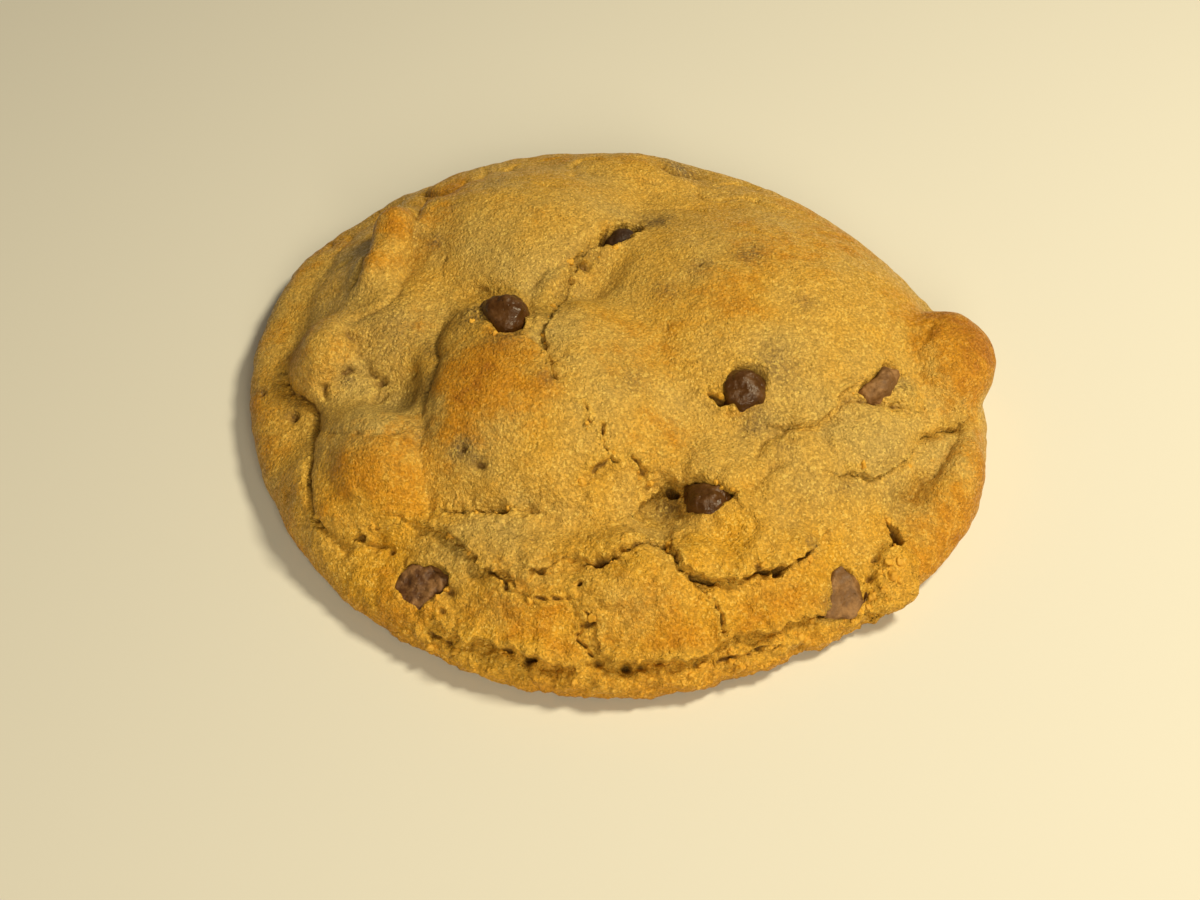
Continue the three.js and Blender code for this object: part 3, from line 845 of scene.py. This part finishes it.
for name, data in {
    "toasted": np.clip(toasted + 0.35 * high_spots * (1 - torn), 0, 1.3),
    "pale": pale - 0.5 * near_front,
    "stain_and_shade": stain_and_shade,
    "torn": np.clip(torn + 0.6 * rough_rim, 0, 1),
    # hollow: painted shade in creases, cracks, small pits and under the edges of plates
    "hollow": hollow,
    # low: painted shade, darker where the skin is pressed in deeper
    "low": np.clip(-lift / 2.4, 0, 1),
    "rim_low": rim_low,
    "under": under,
}.items():
    attribute = dough.data.attributes.new(name, "FLOAT", "POINT")
    attribute.data.foreach_set("value", data.astype(np.float32))
    print(f"{name:8} mean {data.mean():.2f}")

# %% [markdown]
# The fine net was needed for shaping. A piece has to stay under 200,000 triangles, so the net is
# thinned now, most of all where it is flat. The maps are stored on the mesh already and are thinned
# with it.

# %% A last thinning of the net
TRIANGLES_WANTED = 190_000

apply_modifier(dough, "DECIMATE", ratio=min(1.0, TRIANGLES_WANTED / triangles_of(dough)))
alone(dough)
bpy.ops.object.shade_smooth()
print("triangles:", triangles_of(dough))

# %% [markdown]
# ## Materials: sums written as sums
#
# A shader is a net of small nodes. Wiring each one by hand makes long scripts, so one class, `Wire`,
# stands for a value on its way between two nodes, and adding, subtracting or multiplying wires
# makes the Math nodes. `Paint` holds one material, and its `add` makes any other node.

# %% A wire
class Wire:
    """A number on its way between two nodes."""

    def __init__(self, paint, socket):
        self.paint = paint
        self.socket = socket

    def __add__(self, other):
        return self.paint.sum_of("ADD", self, other)

    def __sub__(self, other):
        return self.paint.sum_of("SUBTRACT", self, other)

    def __rsub__(self, other):
        return self.paint.sum_of("SUBTRACT", other, self)

    def __mul__(self, other):
        return self.paint.sum_of("MULTIPLY", self, other)

    def clipped(self):
        return self.paint.add("ShaderNodeMath", {"operation": "ADD", "use_clamp": True}, {0: self, 1: 0.0})

    __radd__ = __add__
    __rmul__ = __mul__


# %% A paint
class Paint:
    """One material, built node by node."""

    def __init__(self, name):
        self.material = bpy.data.materials.new(name)
        self.material.use_nodes = True
        self.tree = self.material.node_tree
        self.tree.nodes.clear()

    def add(self, kind, settings=None, inputs=None, output=0):
        """Makes one node, wires or sets its inputs, and gives one of its outputs."""
        node = self.tree.nodes.new(kind)
        for key, value in (settings or {}).items():
            setattr(node, key, value)
        for key, value in (inputs or {}).items():
            if isinstance(value, Wire):
                self.tree.links.new(value.socket, node.inputs[key])
            else:
                node.inputs[key].default_value = value
        return Wire(self, node.outputs[output])

    def sum_of(self, operation, first, second):
        return self.add("ShaderNodeMath", {"operation": operation}, {0: first, 1: second})

    def map(self, name):
        return self.add("ShaderNodeAttribute", {"attribute_name": name}, output="Fac")

    def at_scale(self, size_mm):
        """The place on the cookie, and a scale that makes one grain of a texture this large."""
        return {"Vector": self.add("ShaderNodeTexCoord", output="Object"), "Scale": 1 / (size_mm * MM)}

    def noise(self, size_mm, detail=2.0, roughness=0.5):
        inputs = self.at_scale(size_mm) | {"Detail": detail, "Roughness": roughness}
        return self.add("ShaderNodeTexNoise", None, inputs)

    def cells(self, size_mm, output="Distance"):
        return self.add("ShaderNodeTexVoronoi", None, self.at_scale(size_mm), output)

    def spread(self, value, low, high, to_low=0.0, to_high=1.0):
        """Spreads what lies between low and high over to_low to to_high, with soft ends."""
        return self.add(
            "ShaderNodeMapRange",
            {"clamp": True, "interpolation_type": "SMOOTHSTEP"},
            {0: value, 1: low, 2: high, 3: to_low, 4: to_high},
        )

    def mix(self, share, first, second, blend="MIX"):
        """Goes from the first colour to the second as share goes from 0 to 1."""
        settings = {"data_type": "RGBA", "blend_type": blend, "clamp_factor": True}
        return self.add("ShaderNodeMix", settings, {0: share, 6: first, 7: second}, output=2)

    def shaded(self, colour, shade):
        """The colour made lighter or darker by a number."""
        grey = self.add("ShaderNodeCombineColor", None, {0: shade, 1: shade, 2: shade})
        return self.mix(1.0, colour, grey, "MULTIPLY")

    def bump(self, height, depth_mm, strength=1.0, normal=None):
        inputs = {"Height": height, "Distance": depth_mm * MM, "Strength": strength}
        if normal is not None:
            inputs["Normal"] = normal
        return self.add("ShaderNodeBump", None, inputs)

    def finish(self, **sockets):
        inputs = {key.replace("_", " "): value for key, value in sockets.items()}
        shader = self.add("ShaderNodeBsdfPrincipled", None, inputs)
        surface = self.tree.nodes.new("ShaderNodeOutputMaterial").inputs["Surface"]
        self.tree.links.new(shader.socket, surface)
        return self.material


# %% [markdown]
# ## Material: baked dough
#
# The skin of a cookie is sandy: sugar and flour grains of about half a millimetre that catch the
# light one by one. So the colour goes up and down from grain to grain, and a bump of the same size
# breaks the shine into glints. The brightest grains also get a pale yellow painted highlight. Under
# the grain lie the painted maps: pale dough, golden crust, toasted brown, the greyish brown round the
# chocolate, and painted shade: greyish brown on the cliff and low slopes, and darker in low places,
# creases, cracks and pits.

# %% Colours of the dough and its crumb
PALE_DOUGH = (0.60, 0.395, 0.10, 1)
GOLDEN_CRUST = (0.70, 0.36, 0.022, 1)
TOASTED_CRUST = (0.58, 0.245, 0.007, 1)
DEEP_TOAST = (0.41, 0.145, 0.005, 1)
OPEN_CRUMB = (0.76, 0.44, 0.055, 1)
PAINTED_GLINT = (0.95, 0.70, 0.17, 1)
GREY_STAIN_AND_SHADE = (0.15, 0.093, 0.040, 1)
PAINTED_CREVICE_SHADE = (0.15, 0.068, 0.012, 1)
TRAY_BROWN = (0.34, 0.155, 0.035, 1)


# %% Paint of the dough
GRAIN, SPECK, PORE, BLOTCH, PATCH = 0.30, 0.48, 1.3, 2.6, 9.0  # sizes in mm


def baked_dough():
    paint = Paint("baked_dough")
    slow = paint.noise(PATCH, detail=3)
    speck = paint.noise(SPECK, detail=2, roughness=0.6)
    grain = paint.spread(paint.cells(GRAIN, output="Color"), 0.0, 1.0)
    pores = paint.cells(PORE)
    blotch = paint.noise(BLOTCH, detail=2)
    toast = paint.map("toasted") * 0.85 + (slow - 0.5) * 0.9 + (blotch - 0.5) * 1.1 + (speck - 0.5) * 0.45
    pale = (paint.map("pale") * 0.8 + 0.42 - (slow - 0.5) * 1.3).clipped()
    torn = paint.map("torn")
    colour = paint.mix(pale, GOLDEN_CRUST, PALE_DOUGH)
    colour = paint.mix(paint.spread(toast, 0.15, 0.9, 0.0, 0.95), colour, TOASTED_CRUST)
    colour = paint.mix(paint.spread(toast, 0.85, 1.15, 0.0, 0.8), colour, DEEP_TOAST)
    colour = paint.mix(paint.spread(torn, 0.25, 0.9, 0.0, 0.5), colour, OPEN_CRUMB)
    colour = paint.mix(paint.map("rim_low") * 0.8, colour, TOASTED_CRUST)
    # chocolate stains round the chips, and painted shade on the cliff, the shoulder and low slopes
    stain_and_shade = paint.map("stain_and_shade") * paint.spread(speck, 0.32, 0.66, 1.15, 0.5)
    colour = paint.mix(stain_and_shade, colour, GREY_STAIN_AND_SHADE)
    colour = paint.mix(paint.map("under"), colour, TRAY_BROWN)
    light = paint.spread(grain, 0.1, 0.9, 0.80, 1.15) * paint.spread(speck, 0.3, 0.7, 0.90, 1.08)
    # times the low map, which is painted shade in pressed-in places
    shade = light * paint.spread(pores, 0.04, 0.2, 0.85, 1.0) * (1 - paint.map("low") * 0.32)
    colour = paint.shaded(colour, shade)
    # painted highlights: the brightest grains are mixed towards a pale yellow
    glints = paint.spread(grain, 0.8, 0.97, 0.0, 0.42) * (1 - toast.clipped() * 0.8)
    colour = paint.mix(glints, colour, PAINTED_GLINT)
    # painted shade in creases, cracks, small pits and under the edges of plates
    colour = paint.mix(paint.spread(paint.map("hollow"), 0.2, 0.85, 0.0, 0.75), colour, PAINTED_CREVICE_SHADE)
    crumb = torn * (paint.noise(0.8, detail=2) - paint.cells(1.0) * 0.9)
    coarse = paint.bump(paint.noise(1.2, detail=3) + crumb, 0.5, 0.85)
    fine = paint.bump(paint.noise(0.36, detail=2, roughness=0.7), 0.42, 1.0, coarse)
    rough = paint.spread(grain, 0.3, 0.95, 0.62, 0.3)
    return paint.finish(Base_Color=colour, Roughness=rough, Normal=fine, Specular_IOR_Level=0.3)


# %% The dough is dressed
def wear(piece, material):
    """Gives a piece its one material and lets it ride with the cookie."""
    piece.data.materials.clear()
    piece.data.materials.append(material)
    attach(piece, "root")


wear(dough, baked_dough())
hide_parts("dough")

# %% [markdown]
# ## The chips
#
# A baking chip is a drop with a flat base. In the oven it melts a little, slumps, and sets again,
# so its edges are soft and its side has dents and pinholes. Three chips here are glossy. Two show
# their flat base, which set dull and light, the one at the front left is wrinkled, and the one deep
# in the slit is painted darker, as painted shade. All are one kind of paint with other colours and
# another roughness.

# %% Milk chocolate in four finishes, one of them painted shade
def milk_chocolate(name, colour, bloom, roughness):
    """Bloom is the paler film that chocolate gets when it has melted and set again."""
    paint = Paint("milk_chocolate_" + name)
    cloud = paint.noise(2.2, detail=4, roughness=0.65)
    dust = paint.noise(0.4, detail=2)
    tone = paint.mix(paint.spread(cloud, 0.42, 0.68), colour, bloom)
    tone = paint.mix(paint.spread(dust, 0.6, 0.75, 0.0, 0.35), tone, bloom)
    dents = paint.bump(paint.noise(1.1, detail=3), 0.5, 0.8)
    pin = paint.bump(paint.spread(paint.cells(0.9), 0.05, 0.25), 0.12, 0.7, dents)
    rough = paint.spread(cloud, 0.3, 0.75, roughness, roughness + 0.25)
    return paint.finish(Base_Color=tone, Roughness=rough, Normal=pin, Specular_IOR_Level=0.38)


GLOSSY = milk_chocolate("glossy", (0.068, 0.024, 0.004, 1), (0.115, 0.047, 0.011, 1), 0.27)
DULL = milk_chocolate("dull", (0.17, 0.078, 0.024, 1), (0.34, 0.175, 0.065, 1), 0.48)
WRINKLED = milk_chocolate("wrinkled", (0.09, 0.035, 0.011, 1), (0.30, 0.15, 0.055, 1), 0.38)
# painted shade: the chip deep in the slit is painted darker than the others
CHIP_IN_SHADE = milk_chocolate("dark", (0.03, 0.011, 0.003, 1), (0.055, 0.022, 0.006, 1), 0.55)

# %% [markdown]
# Each chip starts as a copy of its solid. Most are grown a little to close the gap round the solid,
# and the one in the slit is made smaller. A chip then gets a fine net, and all but that one are
# flattened by a few slanting planes, like a chunk that broke off a bar. What lies outside its
# outline in the picture sinks under the dough. At the end it is smoothed and dented.

# %% Ways to shape a chip
SINK_DEPTH, SINK_SLOPE = 2.3, 0.8  # mm


def swollen(piece, growth):
    """Grows the piece about its own middle."""
    points = vectors(piece, "co")
    middle = points.mean(0)
    move_points(piece, middle + (points - middle) * growth, unit=1)


def faceted(piece, planes, seed):
    """Flattens the piece against slanting planes, which stand round it at random angles."""
    pick = np.random.default_rng(seed)
    points = vectors(piece, "co") / MM
    middle = points.mean(0)
    for turn in range(planes):
        angle = 2 * math.pi * (turn + pick.uniform(0.1, 0.9)) / planes
        slant = math.radians(pick.uniform(20, 50))
        flat = math.sin(slant)
        way = np.array([math.cos(angle) * flat, math.sin(angle) * flat, math.cos(slant)])
        height = (points - middle) @ way
        too_far = np.maximum(height - (height.max() - pick.uniform(0.3, 0.7)), 0)
        points -= too_far[:, None] * way
    move_points(piece, points)


def sunk(piece, outline):
    """Lets the upper side sink where it is outside the outline in the picture."""
    points = vectors(piece, "co") / MM
    past = past_outline(points, outline)
    upper_half = points[:, 2] > points[:, 2].mean()
    points[:, 2] -= SINK_DEPTH * np.clip(past / SINK_SLOPE, 0, 1) * upper_half
    move_points(piece, points)


def dented(piece, size, depth, seed):
    """Pushes the points in and out in smooth random waves."""
    points = vectors(piece, "co") / MM
    shift = Vector((seed, seed * 2.0, seed * 3.0))
    push = np.array([noise.noise(Vector(p) / size + shift) for p in points.tolist()])
    points += vectors(piece, "normal") * (depth * push)[:, None]
    move_points(piece, points)


# %% Slumped chips
CHIP_VOXEL = 0.3 * MM
CHIP_LOOKS = {  # growth, slanting planes, finish
    "chip_upper_left": (1.1, 2, GLOSSY),
    "chip_in_hollow": (0.8, 0, CHIP_IN_SHADE),
    "chip_centre": (1.1, 3, GLOSSY),
    "chip_under_fold": (1.03, 2, GLOSSY),
    "chip_front_left": (1.05, 5, WRINKLED),
    "chip_front_right": (1.05, 4, DULL),
    "chip_right": (1.22, 4, DULL),
}

for seed, node in enumerate(CHIP_NODES, start=1):
    growth, planes, finish = CHIP_LOOKS[node]
    chip = copy_of(node, "baked_" + node)
    swollen(chip, growth)
    apply_modifier(chip, "REMESH", mode="VOXEL", voxel_size=CHIP_VOXEL)
    faceted(chip, planes, seed)
    sunk(chip, CHIP_OUTLINES[node])
    apply_modifier(chip, "SMOOTH", factor=0.5, iterations=4)
    dented(chip, 2.6, 0.5, seed)
    dented(chip, 0.9, 0.22, seed + 20)
    bpy.ops.object.shade_smooth()
    wear(chip, finish)
    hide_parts(node)
    print(chip.name, triangles_of(chip), "triangles")

# %% [markdown]
# ## Crumbs
#
# Along the broken crust at the front some crumbs hang on by a thread. One rough crumb is modelled
# from a small sphere of triangles, pushed about by noise. Copies of it, each with its own size and
# turn, sit half sunk in torn skin, and are then joined into one piece. A few larger bits of crust
# have their own places, in the crumbly end of the rim at the right and beside some of the chips.

# %% Sizes of the crumbs
CRUMBS = 110
LOWEST_CRUMB = 3.2  # mm above the floor, so that none sticks out under the rim
LEAST_CRUMB, MORE_CRUMB = 0.35, 0.7  # mm
CRUMB_SINK = 0.1  # mm
CRUMB_RADIUS = 0.6  # of a crumb of size 1, in mm
FULL_TURN = 6.28
CRUST_BITS = {  # picture point, size in mm
    "crumbly end of the rim": [
        (888, 562, 1.0), (899, 562, 1.0), (892, 575, 1.1), (880, 572, 0.9), (884, 590, 0.9),
        (872, 596, 1.0), (868, 607, 0.8), (900, 580, 0.9),
    ],
    "by the front left chip": [(437, 597, 0.7), (447, 589, 0.7), (399, 596, 0.7)],
    "by the chip under the fold": [(733, 489, 0.7), (716, 482, 0.7)],
    "by the upper left chip": [(495, 334, 0.7)],
}

# %% Where the crumbs sit
now_skin = BVHTree.FromObject(dough, bpy.context.evaluated_depsgraph_get())
is_crumbly = (np.maximum(torn, rough_rim) > 0.55) & (hollow < 0.4)
crumb_places = np.flatnonzero(is_crumbly & (shaped[:, 2] > LOWEST_CRUMB))
pick = np.random.default_rng(7)
places = [(spot_on(now_skin, px, py), size) for bits in CRUST_BITS.values() for px, py, size in bits]
for spot in pick.choice(crumb_places, CRUMBS):
    size = LEAST_CRUMB + MORE_CRUMB * pick.random() ** 2
    places.append((shaped[spot] - outward[spot] * CRUMB_SINK, size))
print("places for crumbs:", len(places))

# %% One crumb, copied and joined
bpy.ops.object.select_all(action="DESELECT")
bpy.ops.mesh.primitive_ico_sphere_add(subdivisions=3, radius=1 * MM)
crumb = bpy.context.object
dented(crumb, 0.9, 0.55, 3)
dented(crumb, 0.4, 0.22, 5)
grown = []
for place, size in places:
    copy = crumb.copy()
    copy.data = crumb.data.copy()
    copy.location = Vector(place) * MM
    copy.rotation_euler = pick.uniform(0, FULL_TURN, 3)
    copy.scale = Vector(pick.uniform(0.7, 1.2, 3)) * size * CRUMB_RADIUS
    bpy.context.collection.objects.link(copy)
    grown.append(copy)
bpy.data.objects.remove(crumb)
alone(grown[0])
for copy in grown:
    copy.select_set(True)
bpy.ops.object.join()
crumbs = bpy.context.object
crumbs.name = crumbs.data.name = "loose_crumbs"
bpy.ops.object.transform_apply(location=True, rotation=True, scale=True)
bpy.ops.object.shade_smooth()
print("crumbs:", len(places), "with", triangles_of(crumbs), "triangles")

# %% [markdown]
# The crumbs show the inside of the dough, so their material is the open crumb without any crust.

# %% Crumb material
def open_crumb():
    paint = Paint("open_crumb")
    tone = paint.mix(paint.noise(0.8, detail=3) * 0.7, GOLDEN_CRUST, OPEN_CRUMB)
    tone = paint.mix(paint.spread(paint.noise(1.6), 0.4, 0.7, 0.0, 0.5), tone, TOASTED_CRUST)
    grain = paint.bump(paint.noise(0.4, detail=2), 0.15, 1.0)
    return paint.finish(Base_Color=tone, Roughness=0.6, Normal=grain, Specular_IOR_Level=0.45)


wear(crumbs, open_crumb())

# %% [markdown]
# ## Floor and light
#
# The floor is one large plain pale sheet. The photo has warm light from above and from the right,
# so a round soft lamp hangs there. A wider and weaker one stands at the front, on the viewer's
# side, so that the shadows stay open, and a faint warm glow comes from all round.

# %% Floor
bpy.ops.object.select_all(action="DESELECT")
bpy.ops.mesh.primitive_plane_add(size=4, location=(0, 0, 0))
floor = bpy.context.object
floor.name = "floor"
floor_paint = Paint("pale_floor")
floor.data.materials.append(floor_paint.finish(Base_Color=(0.76, 0.74, 0.70, 1), Roughness=0.85))


# %% Lights
def soft_lamp(name, place, size, power, colour):
    """A round lamp of a size in metres and a power in watts that shines at the middle of the floor."""
    bpy.ops.object.light_add(type="AREA", location=place)
    lamp = bpy.context.object
    lamp.name = name
    lamp.data.shape = "DISK"
    lamp.data.size = size
    lamp.data.energy = power
    lamp.data.color = colour
    lamp.rotation_euler = (-Vector(place)).to_track_quat("-Z", "Y").to_euler()


soft_lamp("overhead", (0.27, 0.02, 0.43), 0.12, 2.15, (1.0, 0.89, 0.60))
soft_lamp("front_fill", (0.08, -0.48, 0.32), 0.28, 1.75, (1.0, 0.88, 0.60))

world = bpy.data.worlds.new("room")
bpy.context.scene.world = world
world.use_nodes = True
glow = world.node_tree.nodes["Background"].inputs
glow["Color"].default_value = (1.0, 0.88, 0.66, 1)
glow["Strength"].default_value = 0.10
bpy.context.scene.view_settings.view_transform = "Standard"
bpy.context.scene.view_settings.exposure = 0.0
